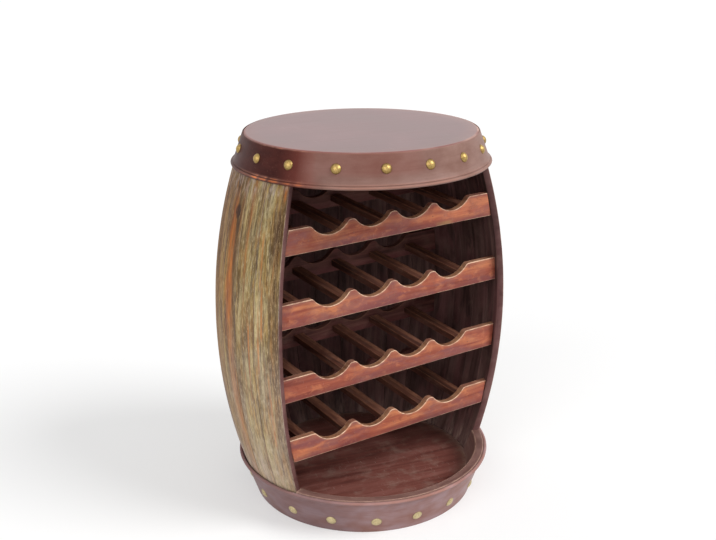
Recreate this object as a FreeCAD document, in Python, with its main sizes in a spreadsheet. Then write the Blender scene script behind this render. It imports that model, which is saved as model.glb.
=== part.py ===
import FreeCAD, Part
import math
import os
import Sketcher

# Barrel wine rack: a round-bellied barrel of bent staves with its front left open.
# Four tiers of scalloped rails and slats lie across it, with four lanes to a tier.
# Lengths are in millimetres and angles in degrees.
# The origin is on the ground under the middle of the rack. Z points up and the opening faces -Y.
# The hoops stand less far out in front than the belly does behind, so the barrel's axis
# stands a little in front of the origin. Each piece is drawn about the barrel's axis.

SIZES = (
    ("rack_height", 690, "ground to the face of the round top"),
    ("belly_radius", 273, "outer arrises of the staves at half height"),
    ("end_radius", 207, "outer arrises of the staves, carried on to the ground and to the top"),
    ("stave_thickness", 12, "bent stave"),
    ("stave_count", 20, "staves, round the sides and the back"),
    ("stave_gap", 0.3, "open joint between two staves at the belly"),
    ("opening_angle", 129.5, "angle left open at the front"),
    ("seat_clearance", 0.3, "play between curved faces that seat on each other"),
    ("top_board_thickness", 18, "round top board, over the stave ends"),
    ("top_board_bevel", 2, "bevel of the top board's upper edge"),
    ("head_disc_thickness", 12, "disc that the stave heads are nailed to"),
    ("floor_board_thickness", 12, "floor board, nailed through the stave feet"),
    ("floor_height", 33, "upper face of the floor board above the ground"),
    ("curb_thickness", 16, "sill and header that close the ring of staves at the front"),
    ("curb_rebate", 4, "rebate of the sill and the header for the edge of their board"),
    ("curb_bevel", 1.5, "bevel of the sill's and the header's open arrises"),
    ("sill_height", 77, "upper face of the sill above the ground"),
    ("header_depth", 36, "header, measured down from the top board"),
    ("hoop_thickness", 1.5, "sheet of the two hoops"),
    ("top_hoop_height", 55, "width of the top hoop"),
    ("top_hoop_drop", 1, "top hoop's upper edge below the face of the top"),
    ("top_roll_radius", 2.6, "rolled lower edge of the top hoop"),
    ("base_hoop_height", 76, "width of the base hoop"),
    ("base_roll_radius", 3.2, "rolled upper edge of the base hoop"),
    ("nail_count", 17, "nails round each hoop"),
    ("nail_sides", 16, "sides of a nail head"),
    ("nail_clearance", 0.1, "play between a nail head and its hoop"),
    ("top_nail_drop", 23, "centre of a top nail below the top hoop's upper edge"),
    ("top_nail_radius", 8, "head of a top nail"),
    ("top_nail_rise", 4.6, "height of a top nail's head"),
    ("top_nail_turn", -3.4, "first top nail, from the middle of the front"),
    ("base_nail_height", 26, "centre of a base nail above the ground"),
    ("base_nail_radius", 8.5, "head of a base nail"),
    ("base_nail_rise", 3, "height of a base nail's head"),
    ("base_nail_turn", -8, "first base nail, from the middle of the front"),
    ("top_tier_height", 517, "underside of the front rail of the top tier"),
    ("second_tier_height", 389, "underside of the front rail of the second tier"),
    ("third_tier_height", 254, "underside of the front rail of the third tier"),
    ("bottom_tier_height", 137, "underside of the front rail of the bottom tier"),
    ("rail_reach", 101, "outer face of a rail in front of or behind the axis"),
    ("rail_thickness", 12, "rail, front to back"),
    ("rail_height", 44, "rail, underside to peaks"),
    ("back_rail_rise", 10, "back rail above the front rail, so that the lanes tip to the front"),
    ("lane_pitch", 87, "from one lane to the next"),
    ("lane_count", 4, "lanes to a tier"),
    ("scallop_radius", 45, "hollow of a lane in a rail"),
    ("scallop_depth", 20, "hollow below the peaks"),
    ("peak_rounding", 9, "rounding of the peaks between two hollows"),
    ("slat_width", 20, "slat, side to side"),
    ("slat_height", 12, "slat, top to bottom"),
    ("slat_seat", 12, "underside of a slat above the underside of its rails"),
    ("overrun", 1, "how far a cutting shape runs past what it cuts"),
)

TIERS = ("top_tier", "second_tier", "third_tier", "bottom_tier")

# A nail head's flat crown, as a share of its foot.
crown_share = 0.55

MID_HEIGHT = "(Sizes.rack_height / 2)"
STAVE_TOP = "(Sizes.rack_height - Sizes.top_board_thickness)"
STAVE_ANGLE = "((360 - Sizes.opening_angle) / Sizes.stave_count)"
GAP_ANGLE = "(Sizes.stave_gap / Sizes.belly_radius * 180 / pi)"
CUT_ANGLE = f"(({STAVE_ANGLE} - {GAP_ANGLE}) / 2)"
FLOOR_UNDERSIDE = "(Sizes.floor_height - Sizes.floor_board_thickness)"
HEAD_UNDERSIDE = f"({STAVE_TOP} - Sizes.head_disc_thickness)"
HEADER_UNDERSIDE = f"({STAVE_TOP} - Sizes.header_depth)"
TOP_HOOP_UPPER = "(Sizes.rack_height - Sizes.top_hoop_drop)"
TOP_HOOP_LOWER = f"({TOP_HOOP_UPPER} - Sizes.top_hoop_height)"
TOP_HOOP_MIDDLE = f"({TOP_HOOP_UPPER} - Sizes.top_hoop_height / 2)"
BASE_HOOP_MIDDLE = "(Sizes.base_hoop_height / 2)"


def swell_arc(share):
    """Radius and centre of the arc that swells from the ends to the belly.

    The share is how much of the arris radius the arc stands from the axis: a stave is
    flat across, so the middle of its face stands nearer to the axis than its arrises."""
    swell = f"((Sizes.belly_radius - Sizes.end_radius) * {share})"
    radius = f"(({MID_HEIGHT}^2 + {swell}^2) / (2 * {swell}))"
    return radius, f"(Sizes.belly_radius * {share} - {radius})"


ARRIS_ARC, ARRIS_CENTRE = swell_arc("1")
FACE_ARC, FACE_CENTRE = swell_arc(f"cos({STAVE_ANGLE} / 2)")
INNER_ARC = f"({FACE_ARC} - Sizes.stave_thickness)"


def inside_radius(height):
    """Radius of a piece that seats inside the staves at a height."""
    arc = f"({INNER_ARC} - Sizes.seat_clearance)"
    return f"({FACE_CENTRE} + sqrt({arc}^2 - ({height} - {MID_HEIGHT})^2))"


def hoop_lean(middle):
    """Sine and cosine of a hoop's lean: it lies along the barrel at its middle height."""
    lean = f"(({middle} - {MID_HEIGHT}) / {ARRIS_ARC})"
    return lean, f"sqrt(1 - {lean}^2)"


def hoop_radius(middle, height, out):
    """Radius at a height of a cone parallel to a hoop, a distance out from the staves' arrises."""
    lean, level = hoop_lean(middle)
    seat = f"{ARRIS_CENTRE} + {ARRIS_ARC} * {level}"
    return f"({seat} - ({height} - {middle}) * {lean} / {level} + {out} / {level})"


HOOP_INSIDE = "Sizes.seat_clearance"
HOOP_OUTSIDE = "(Sizes.seat_clearance + Sizes.hoop_thickness)"
FRONT_REACH = (
    hoop_radius(BASE_HOOP_MIDDLE, "(Sizes.base_hoop_height - Sizes.base_roll_radius / 2)", HOOP_INSIDE)
    + " + 2 * Sizes.base_roll_radius"
)
AXIS_SHIFT = f"(({FRONT_REACH} - Sizes.belly_radius) / 2)"


doc = FreeCAD.newDocument("barrel_wine_rack")
sheet = doc.addObject("Spreadsheet::Sheet", "Sizes")
for row, (alias, value, meaning) in enumerate(SIZES, start=1):
    sheet.set(f"A{row}", meaning)
    sheet.set(f"B{row}", str(value))
    sheet.setAlias(f"B{row}", alias)
doc.recompute()

nodes = []


def amount(expression):
    """Number that an expression over the sheet stands for now."""
    return float(sheet.evalExpression(expression.replace("Sizes.", "")))


# Edges are found by their size, to within this share of the stave's thickness.
edge_match_share = 0.001
EDGE_MATCH = edge_match_share * amount("Sizes.stave_thickness")


def same(first, second):
    return abs(first - second) < EDGE_MATCH


def new_body(name, angle="0", across="0"):
    """Body for one piece, stood in its place by a turn about the axis or a step across."""
    body = doc.addObject("PartDesign::Body", name)
    body.Label = name
    base = f"vector({across}; {AXIS_SHIFT}; 0)"
    body.setExpression("Placement", f"placement({base}; rotation(vector(0; 0; 1); {angle}))")
    nodes.append(body)
    return body


def new_sketch(body, name, role, offset=None):
    """Sketch on one of the body's own origin planes, moved along its normal."""
    sketch = body.newObject("Sketcher::SketchObject", f"{body.Name}_{name}")
    plane = next(item for item in body.Origin.OriginFeatures if item.Role == role)
    sketch.AttachmentSupport = [(plane, "")]
    sketch.MapMode = "FlatFace"
    if offset:
        sketch.setExpression("AttachmentOffset.Base.z", offset)
    return sketch


def point_at(across, up):
    return FreeCAD.Vector(amount(across), amount(up), 0)


def drive(sketch, name, expression, *constraint):
    """Add a constraint to a sketch and bind its value to the sheet."""
    kind, *elements = constraint
    index = sketch.addConstraint(Sketcher.Constraint(kind, *elements, amount(expression)))
    sketch.renameConstraint(index, name)
    sketch.setExpression(f"Constraints.{name}", expression)


def place_point(sketch, name, element, point, across, up):
    """Fix one point of a sketch by its two distances from the sketch's origin."""
    drive(sketch, f"{name}_across", across, "DistanceX", -1, 1, element, point)
    drive(sketch, f"{name}_up", up, "DistanceY", -1, 1, element, point)


def add_outline(sketch, points, name="corner"):
    """Closed outline of straight lines through points given as expressions."""
    corners = [point_at(across, up) for across, up in points]
    ends = corners[1:] + corners[:1]
    sides = [sketch.addGeometry(Part.LineSegment(*pair)) for pair in zip(corners, ends)]
    for side, following in zip(sides, sides[1:] + sides[:1]):
        sketch.addConstraint(Sketcher.Constraint("Coincident", side, 2, following, 1))
    for number, (side, (across, up)) in enumerate(zip(sides, points), start=1):
        place_point(sketch, f"{name}_{number}", side, 1, across, up)


def add_circle(sketch, name, across, up, radius):
    """Circle with its centre and radius given as expressions."""
    circle = Part.Circle(point_at(across, up), FreeCAD.Vector(0, 0, 1), amount(radius))
    element = sketch.addGeometry(circle)
    place_point(sketch, f"{name}_centre", element, 3, across, up)
    drive(sketch, f"{name}_radius", radius, "Radius", element)


def add_swell_arc(sketch, name, radius, low, high):
    """Arc of a stave's face between two heights: its start is low and its end is high."""
    size = amount(radius)
    centre = point_at(FACE_CENTRE, MID_HEIGHT)
    start = math.asin((amount(low) - centre.y) / size)
    end = math.asin((amount(high) - centre.y) / size)
    circle = Part.Circle(centre, FreeCAD.Vector(0, 0, 1), size)
    arc = sketch.addGeometry(Part.ArcOfCircle(circle, start, end))
    place_point(sketch, f"{name}_centre", arc, 3, FACE_CENTRE, MID_HEIGHT)
    drive(sketch, f"{name}_radius", radius, "Radius", arc)
    drive(sketch, f"{name}_low", low, "DistanceY", -1, 1, arc, 1)
    drive(sketch, f"{name}_high", high, "DistanceY", -1, 1, arc, 2)
    return arc


def join(sketch, first, second, point):
    """Straight line between the like ends of two arcs."""
    ends = [sketch.getPoint(element, point) for element in (first, second)]
    line = sketch.addGeometry(Part.LineSegment(*ends))
    sketch.addConstraint(Sketcher.Constraint("Coincident", line, 1, first, point))
    sketch.addConstraint(Sketcher.Constraint("Coincident", line, 2, second, point))


def add_feature(body, kind, name, sketch, **settings):
    """Sketch-based feature of a body: numbers are set as they are and texts are expressions."""
    doc.recompute()
    feature = body.newObject(f"PartDesign::{kind}", f"{body.Name}_{name}")
    feature.Profile = sketch
    for setting, value in settings.items():
        if isinstance(value, str):
            feature.setExpression(setting, value)
        else:
            setattr(feature, setting, value)
    doc.recompute()
    return feature


def turn_section(body, name, sketch, angle="360"):
    """Turn a section about the barrel's axis, evenly to both sides of its plane."""
    axis = (sketch, ["V_Axis"])
    return add_feature(body, "Revolution", name, sketch, ReferenceAxis=axis, Midplane=True, Angle=angle)


def round_edges(body, base, name, radius, wanted):
    """Round those edges of a feature that a test picks out."""
    picked = [f"Edge{n}" for n, edge in enumerate(base.Shape.Edges, start=1) if wanted(edge)]
    if not picked:
        raise RuntimeError(f"{body.Label}: no edge found for {name}")
    feature = body.newObject("PartDesign::Fillet", f"{body.Name}_{name}")
    feature.Base = (base, picked)
    feature.setExpression("Radius", radius)
    doc.recompute()


def make_stave(number):
    """Bent stave: full at the belly and tapered to its ends by two radial side cuts."""
    angle = f"({number} - 0.5 - Sizes.stave_count / 2) * {STAVE_ANGLE}"
    body = new_body(f"stave_{number:02d}", angle)
    side = new_sketch(body, "side_outline", "YZ_Plane")
    outside = add_swell_arc(side, "outside", FACE_ARC, "0", STAVE_TOP)
    inside = add_swell_arc(side, "inside", INNER_ARC, "0", STAVE_TOP)
    join(side, outside, inside, 2)
    join(side, inside, outside, 1)
    half_width = f"(Sizes.belly_radius * sin({STAVE_ANGLE} / 2))"
    add_feature(body, "Pad", "bent_board", side, Midplane=True, Length=f"2 * {half_width}")

    cuts = new_sketch(body, "side_cuts", "XY_Plane")
    near = "(Sizes.end_radius / 2)"
    far = "(Sizes.belly_radius + Sizes.overrun)"
    wide = f"({half_width} + Sizes.overrun)"
    for name, sign in (("left", "-"), ("right", "")):
        corners = [
            (f"{sign}{near} * tan({CUT_ANGLE})", near),
            (f"{sign}{far} * tan({CUT_ANGLE})", far),
            (f"{sign}{wide}", far),
            (f"{sign}{wide}", near),
        ]
        add_outline(cuts, corners, name)
    through = "2 * (Sizes.rack_height + Sizes.overrun)"
    add_feature(body, "Pocket", "side_taper", cuts, Midplane=True, Length=through)


def make_inner_disc(name, low, high):
    """Round board inside the staves, its edge cut to their slope."""
    body = new_body(name)
    sketch = new_sketch(body, "half_section", "YZ_Plane")
    add_outline(sketch, [("0", low), (inside_radius(low), low), (inside_radius(high), high), ("0", high)])
    turn_section(body, "turning", sketch)


def make_top_board():
    """Round top over the stave ends, inside the top hoop, with a bevelled upper edge."""
    body = new_body("top_board")
    sketch = new_sketch(body, "half_section", "YZ_Plane")
    high = "Sizes.rack_height"
    shoulder = f"({high} - Sizes.top_board_bevel)"
    edge = hoop_radius(TOP_HOOP_MIDDLE, high, "0")
    add_outline(sketch, [
        ("0", STAVE_TOP),
        (hoop_radius(TOP_HOOP_MIDDLE, STAVE_TOP, "0"), STAVE_TOP),
        (hoop_radius(TOP_HOOP_MIDDLE, shoulder, "0"), shoulder),
        (f"{edge} - Sizes.top_board_bevel", high),
        ("0", high),
    ])
    turn_section(body, "turning", sketch)


def make_curb(name, hoop_middle, closed, step, opened, up):
    """Curved piece that closes the ring of staves at the front, behind a hoop.

    It runs from its closed end, past the step of the rebate that the edge of a board sits
    in, to its open end with two bevelled arrises. It runs up or down from the closed end."""
    body = new_body(name, "180")
    sketch = new_sketch(body, "section", "YZ_Plane")
    shoulder = f"({opened} - Sizes.curb_bevel)" if up else f"({opened} + Sizes.curb_bevel)"
    lip = "(-Sizes.curb_thickness)"
    rebate = "(Sizes.curb_rebate - Sizes.curb_thickness)"
    add_outline(sketch, [
        (hoop_radius(hoop_middle, closed, "0"), closed),
        (hoop_radius(hoop_middle, shoulder, "0"), shoulder),
        (hoop_radius(hoop_middle, opened, "0") + " - Sizes.curb_bevel", opened),
        (hoop_radius(hoop_middle, opened, lip) + " + Sizes.curb_bevel", opened),
        (hoop_radius(hoop_middle, shoulder, lip), shoulder),
        (hoop_radius(hoop_middle, step, lip), step),
        (hoop_radius(hoop_middle, step, rebate), step),
        (hoop_radius(hoop_middle, closed, rebate), closed),
    ])
    turn_section(body, "bend", sketch, f"Sizes.opening_angle - {GAP_ANGLE}")


def make_hoop(name, middle, plain, rolled, roll, up):
    """Sheet hoop, coned to lie along the barrel, with one edge rolled outwards."""
    body = new_body(name)
    sketch = new_sketch(body, "section", "YZ_Plane")
    sign = "-" if up else "+"
    foot = f"({rolled} {sign} 2 * {roll})"
    low_cheek = f"({rolled} {sign} 3 / 2 * {roll})"
    high_cheek = f"({rolled} {sign} {roll} / 2)"
    add_outline(sketch, [
        (hoop_radius(middle, plain, HOOP_INSIDE), plain),
        (hoop_radius(middle, plain, HOOP_OUTSIDE), plain),
        (hoop_radius(middle, foot, HOOP_OUTSIDE), foot),
        (hoop_radius(middle, low_cheek, HOOP_INSIDE) + f" + 2 * {roll}", low_cheek),
        (hoop_radius(middle, high_cheek, HOOP_INSIDE) + f" + 2 * {roll}", high_cheek),
        (hoop_radius(middle, rolled, HOOP_INSIDE) + f" + {roll}", rolled),
        (hoop_radius(middle, rolled, HOOP_INSIDE), rolled),
    ])
    turn_section(body, "band", sketch)


def make_nails(name, middle, height, radius, rise, first_turn):
    """Ring of raised nail heads on a hoop, each square to the hoop's face.

    A head is a many-sided taper, round to the eye and light in faces."""
    body = new_body(name, first_turn)
    body.AllowCompound = True
    lean, level = hoop_lean(middle)
    seat = hoop_radius(middle, height, f"({HOOP_OUTSIDE} + Sizes.nail_clearance)")
    sketch = new_sketch(body, "head_outline", "XZ_Plane")
    tip = f"rotation(vector(1; 0; 0); -asin({lean}))"
    sketch.setExpression("AttachmentOffset", f"placement(vector(0; {height}; {seat}); {tip})")
    turns = [f"({side} * 360 / Sizes.nail_sides)" for side in range(int(amount("Sizes.nail_sides")))]
    add_outline(sketch, [(f"{radius} * cos({turn})", f"{radius} * sin({turn})") for turn in turns])
    taper = f"-atan((1 - {crown_share}) * {radius} / {rise})"
    head = add_feature(body, "Pad", "head", sketch, Length=rise, TaperAngle=taper)
    ring = body.newObject("PartDesign::PolarPattern", f"{name}_ring")
    ring.Originals = [head]
    ring.Axis = (next(item for item in body.Origin.OriginFeatures if item.Role == "Z_Axis"), [""])
    ring.Angle = 360
    ring.setExpression("Occurrences", "Sizes.nail_count")
    body.Tip = ring


def make_rail(name, low, plane_offset):
    """Scalloped rail across the barrel, its ends cut to the slope and curve of the staves."""
    body = new_body(name)
    high = f"({low} + Sizes.rail_height)"
    left = "-Sizes.belly_radius"
    right = "Sizes.belly_radius"
    blank = new_sketch(body, "blank_outline", "XZ_Plane", plane_offset)
    add_outline(blank, [(left, low), (right, low), (right, high), (left, high)])
    add_feature(body, "Pad", "blank", blank, Length="Sizes.rail_thickness")

    hollow = new_sketch(body, "scallop_outline", "XZ_Plane", plane_offset)
    first_lane = "-(Sizes.lane_count - 1) / 2 * Sizes.lane_pitch"
    centre_height = f"{high} - Sizes.scallop_depth + Sizes.scallop_radius"
    add_circle(hollow, "scallop", first_lane, centre_height, "Sizes.scallop_radius")
    through = "2 * (Sizes.rail_thickness + Sizes.overrun)"
    scallop = add_feature(body, "Pocket", "scallop", hollow, Midplane=True, Length=through)
    lanes = body.newObject("PartDesign::LinearPattern", f"{name}_lanes")
    lanes.Originals = [scallop]
    lanes.Direction = (hollow, ["H_Axis"])
    lanes.setExpression("Length", "(Sizes.lane_count - 1) * Sizes.lane_pitch")
    lanes.setExpression("Occurrences", "Sizes.lane_count")
    body.Tip = lanes
    doc.recompute()

    def is_peak(edge):
        box = edge.BoundBox
        runs_through = same(box.YLength, amount("Sizes.rail_thickness"))
        at_an_end = same(abs(box.XMin), amount(right))
        return runs_through and same(box.ZMin, amount(high)) and not at_an_end

    round_edges(body, lanes, "peaks", "Sizes.peak_rounding", is_peak)

    wall = new_sketch(body, "wall_section", "XZ_Plane")
    below = f"({low} - Sizes.overrun)"
    above = f"({high} + Sizes.overrun)"
    far = "(Sizes.belly_radius + Sizes.rail_reach)"
    add_outline(wall, [(inside_radius(below), below), (far, below), (far, above), (inside_radius(above), above)])
    add_feature(body, "Groove", "ends", wall, ReferenceAxis=(wall, ["V_Axis"]), Angle=360)


def make_slat(name, low, lane_steps):
    """Slat from the front rail up to the back rail, along the side of a lane."""
    body = new_body(name, across=f"({lane_steps}) * Sizes.lane_pitch")
    sketch = new_sketch(body, "side_outline", "YZ_Plane")
    half_run = "(Sizes.rail_reach - Sizes.rail_thickness)"
    front_low = f"({low} + Sizes.slat_seat)"
    back_low = f"({front_low} + Sizes.back_rail_rise)"
    add_outline(sketch, [
        (f"-{half_run}", front_low),
        (half_run, back_low),
        (half_run, f"{back_low} + Sizes.slat_height"),
        (f"-{half_run}", f"{front_low} + Sizes.slat_height"),
    ])
    add_feature(body, "Pad", "board", sketch, Midplane=True, Length="Sizes.slat_width")


def make_tier(tier):
    """Front rail, back rail and the slats between them."""
    low = f"Sizes.{tier}_height"
    make_rail(f"{tier}_front_rail", low, "Sizes.rail_reach - Sizes.rail_thickness")
    make_rail(f"{tier}_back_rail", f"({low} + Sizes.back_rail_rise)", "-Sizes.rail_reach")
    slat_count = int(amount("Sizes.lane_count")) + 1
    for slat in range(slat_count):
        make_slat(f"{tier}_slat_{slat + 1}", low, f"{slat} - Sizes.lane_count / 2")


for stave in range(int(amount("Sizes.stave_count"))):
    make_stave(stave + 1)
make_inner_disc("floor_board", FLOOR_UNDERSIDE, "Sizes.floor_height")
make_inner_disc("head_disc", HEAD_UNDERSIDE, STAVE_TOP)
make_top_board()
make_curb("front_sill", BASE_HOOP_MIDDLE, "0", "Sizes.floor_height", "Sizes.sill_height", up=True)
make_curb("front_header", TOP_HOOP_MIDDLE, STAVE_TOP, HEAD_UNDERSIDE, HEADER_UNDERSIDE, up=False)
make_hoop("top_hoop", TOP_HOOP_MIDDLE, TOP_HOOP_UPPER, TOP_HOOP_LOWER, "Sizes.top_roll_radius", up=False)
make_hoop("base_hoop", BASE_HOOP_MIDDLE, "0", "Sizes.base_hoop_height", "Sizes.base_roll_radius", up=True)
make_nails("top_hoop_nails", TOP_HOOP_MIDDLE, f"({TOP_HOOP_UPPER} - Sizes.top_nail_drop)",
           "Sizes.top_nail_radius", "Sizes.top_nail_rise", "Sizes.top_nail_turn")
make_nails("base_hoop_nails", BASE_HOOP_MIDDLE, "Sizes.base_nail_height",
           "Sizes.base_nail_radius", "Sizes.base_nail_rise", "Sizes.base_nail_turn")
for tier_name in TIERS:
    make_tier(tier_name)

doc.recompute()
for item in doc.Objects:
    if "Invalid" in item.State or "Error" in item.State:
        raise RuntimeError(f"{item.Name} did not recompute: {item.State}")
for node in nodes:
    if node.Shape.isNull() or not node.Shape.isValid():
        raise RuntimeError(f"{node.Label} has no valid shape")

os.makedirs("parts", exist_ok=True)
for node in nodes:
    node.Shape.exportStep(f"parts/{node.Label}.step")
    print(node.Label, len(node.Shape.Solids), round(node.Shape.Volume))
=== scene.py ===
import math
import random

import bpy
from mathutils import Matrix, Vector, noise


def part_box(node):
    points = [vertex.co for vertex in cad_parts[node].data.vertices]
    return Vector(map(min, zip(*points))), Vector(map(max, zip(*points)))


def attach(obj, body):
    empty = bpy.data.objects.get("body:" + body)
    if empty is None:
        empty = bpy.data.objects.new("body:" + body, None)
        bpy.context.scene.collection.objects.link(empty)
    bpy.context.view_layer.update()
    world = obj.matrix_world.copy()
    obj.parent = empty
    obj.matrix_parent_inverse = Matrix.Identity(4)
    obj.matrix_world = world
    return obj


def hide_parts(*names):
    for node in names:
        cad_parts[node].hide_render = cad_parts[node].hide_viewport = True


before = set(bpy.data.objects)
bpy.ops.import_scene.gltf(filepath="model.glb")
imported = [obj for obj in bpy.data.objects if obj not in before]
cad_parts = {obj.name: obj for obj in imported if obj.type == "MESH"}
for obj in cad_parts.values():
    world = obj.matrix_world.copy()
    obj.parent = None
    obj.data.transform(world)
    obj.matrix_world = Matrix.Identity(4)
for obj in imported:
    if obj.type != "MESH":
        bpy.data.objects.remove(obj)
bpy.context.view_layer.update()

# Barrel wine rack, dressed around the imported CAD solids. Lengths are in metres.

MM = 0.001

# The barrel's form, with the same values as in the part's source.
BELLY_RADIUS = 273 * MM
END_RADIUS = 207 * MM
STAVE_THICKNESS = 12 * MM
STAVE_COUNT = 20
STAVE_GAP = 0.3 * MM
SEEN_GAP = 0.04 * MM
OPENING_ANGLE = math.radians(129.5)
SEAT_CLEARANCE = 0.3 * MM
HOOP_SHEET = 1.5 * MM
CURB_THICKNESS = 16 * MM
CURB_REBATE = 4 * MM
LANE_PITCH = 87 * MM
LANE_COUNT = 4
SCALLOP_RADIUS = 45 * MM
SCALLOP_DEPTH = 20 * MM
PEAK_ROUNDING = 9 * MM
SLAT_COUNT = LANE_COUNT + 1
TOP_ROLL = 2.6 * MM
BASE_ROLL = 3.2 * MM
SLAT_HEIGHT = 12 * MM
TIERS = ("top_tier", "second_tier", "third_tier", "bottom_tier")

# Places that the frame gives.
BASE_LOW, BASE_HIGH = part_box("base_hoop")
HOOP_LOW, HOOP_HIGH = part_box("top_hoop")
AXIS_Y = (BASE_LOW.y + BASE_HIGH.y) / 2
RACK_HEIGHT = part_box("top_board")[1].z
STAVE_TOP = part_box("stave_01")[1].z
FLOOR_LOW, FLOOR_HIGH = (corner.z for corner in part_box("floor_board"))
SILL_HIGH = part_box("front_sill")[1].z
HEADER_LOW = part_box("front_header")[0].z
HEAD_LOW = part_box("head_disc")[0].z
MID_HEIGHT = RACK_HEIGHT / 2
TOP_MIDDLE = (HOOP_LOW.z + HOOP_HIGH.z) / 2
BASE_MIDDLE = (BASE_LOW.z + BASE_HIGH.z) / 2
STAVE_ANGLE = (2 * math.pi - OPENING_ANGLE) / STAVE_COUNT
CUT_ANGLE = (STAVE_ANGLE - SEEN_GAP / BELLY_RADIUS) / 2
FLAT_SHARE = math.cos(STAVE_ANGLE / 2)


def arc_radius(swell):
    """Radius of the arc that swells by this much between the ends and the belly."""
    return (MID_HEIGHT ** 2 + swell ** 2) / (2 * swell)


def swell_radius(height, share=1.0, inwards=0.0):
    """Radius of the barrel's swelling wall at a height, a distance inwards of its arc."""
    arc = arc_radius((BELLY_RADIUS - END_RADIUS) * share)
    return BELLY_RADIUS * share - arc + math.sqrt((arc - inwards) ** 2 - (height - MID_HEIGHT) ** 2)


def inside_radius(height):
    """Radius of a piece that seats inside the staves."""
    return swell_radius(height, FLAT_SHARE, STAVE_THICKNESS + SEAT_CLEARANCE)


def hoop_radius(middle, height, out):
    """Radius at a height of a cone parallel to a hoop, a distance out from the staves' arrises."""
    arc = arc_radius(BELLY_RADIUS - END_RADIUS)
    lean = (middle - MID_HEIGHT) / arc
    level = math.sqrt(1 - lean ** 2)
    return BELLY_RADIUS - arc + arc * level - (height - middle) * lean / level + out / level


def smooth_step(low, high, value):
    """Share from 0 to 1, which rises smoothly while the value goes from low to high."""
    share = min(max((value - low) / (high - low), 0.0), 1.0)
    return share * share * (3 - 2 * share)


def ripple(seed, *place):
    """Smooth noise from -1 to 1 at a place, different for each seed."""
    x, y, z = (*place, 0.0, 0.0)[:3]
    return noise.noise(Vector((x + 17.3 * seed, y - 9.1 * seed, z + 3.7 * seed)))


def degrees_apart(angle, degrees):
    """Degrees between an angle and a turn that is given in degrees."""
    return abs((math.degrees(angle) - degrees + 180) % 360 - 180)


def round_about(radius, angle, height):
    """Point about the barrel's axis. Angle 0 is the middle of the front, and it grows to the right."""
    return Vector((radius * math.sin(angle), AXIS_Y - radius * math.cos(angle), height))


class Shape:
    """Points and faces of a piece. Each point has a grain coordinate, wear, a stain and dirt."""

    def __init__(self):
        self.points, self.grain = [], []
        self.wear, self.stain, self.dirt = [], [], []
        self.faces, self.finish = [], []

    def point(self, place, grain, wear=0.0, stain=0.0, dirt=0.0):
        self.points.append(tuple(place))
        self.grain.append(tuple(grain))
        self.wear.append(wear)
        self.stain.append(stain)
        self.dirt.append(dirt)
        return len(self.points) - 1

    def face(self, corners, finish=0):
        self.faces.append(tuple(corners))
        self.finish.append(finish)

    def skin(self, rows, around=False, along=False, finish_of=None):
        """Quads between rows of point numbers: around closes each row, and along the last on the first."""
        row_pairs = list(zip(rows, rows[1:]))
        if along:
            row_pairs.append((rows[-1], rows[0]))
        count = len(rows[0])
        for low, high in row_pairs:
            for n in range(count if around else count - 1):
                m = (n + 1) % count
                self.face((low[n], low[m], high[m], high[n]), finish_of(n) if finish_of else 0)

    def tube(self, rows, ends=0, finish_of=None):
        """Closed rows skinned in order, with a face over the first and the last."""
        self.skin(rows, around=True, finish_of=finish_of)
        self.face(reversed(rows[0]), ends)
        self.face(rows[-1], ends)


def make_piece(name, shape, finishes, slot, *nodes, tone=0.5, sharp=40):
    """Object from a shape, which rides on the rack and stands for CAD nodes.

    The tone is one value, or a function that gives it for a place."""
    mesh = bpy.data.meshes.new(name)
    mesh.from_pydata(shape.points, [], shape.faces)
    for finish in finishes:
        mesh.materials.append(finish)
    mesh.polygons.foreach_set("material_index", shape.finish)
    grain = mesh.attributes.new("grain", "FLOAT_VECTOR", "POINT")
    grain.data.foreach_set("vector", [value for place in shape.grain for value in place])
    tones = [tone(Vector(place)) for place in shape.points] if callable(tone) else [tone] * len(shape.points)
    layers = {"wear": shape.wear, "stain": shape.stain, "dirt": shape.dirt, "tone": tones}
    for title, values in layers.items():
        layer = mesh.attributes.new(title, "FLOAT", "POINT")
        layer.data.foreach_set("value", values)
    mesh.polygons.foreach_set("use_smooth", [True] * len(mesh.polygons))
    mesh.update()
    mesh.set_sharp_from_angle(angle=math.radians(sharp))
    piece = bpy.data.objects.new(name, mesh)
    bpy.context.scene.collection.objects.link(piece)
    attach(piece, "root")
    if nodes:
        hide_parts(*nodes)


# Materials

def srgb(red, green, blue):
    """Linear colour with full alpha from the 0 to 255 values that a screen shows."""
    def linear(value):
        share = value / 255
        return share / 12.92 if share <= 0.04045 else ((share + 0.055) / 1.055) ** 2.4
    return (linear(red), linear(green), linear(blue), 1.0)


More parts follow.
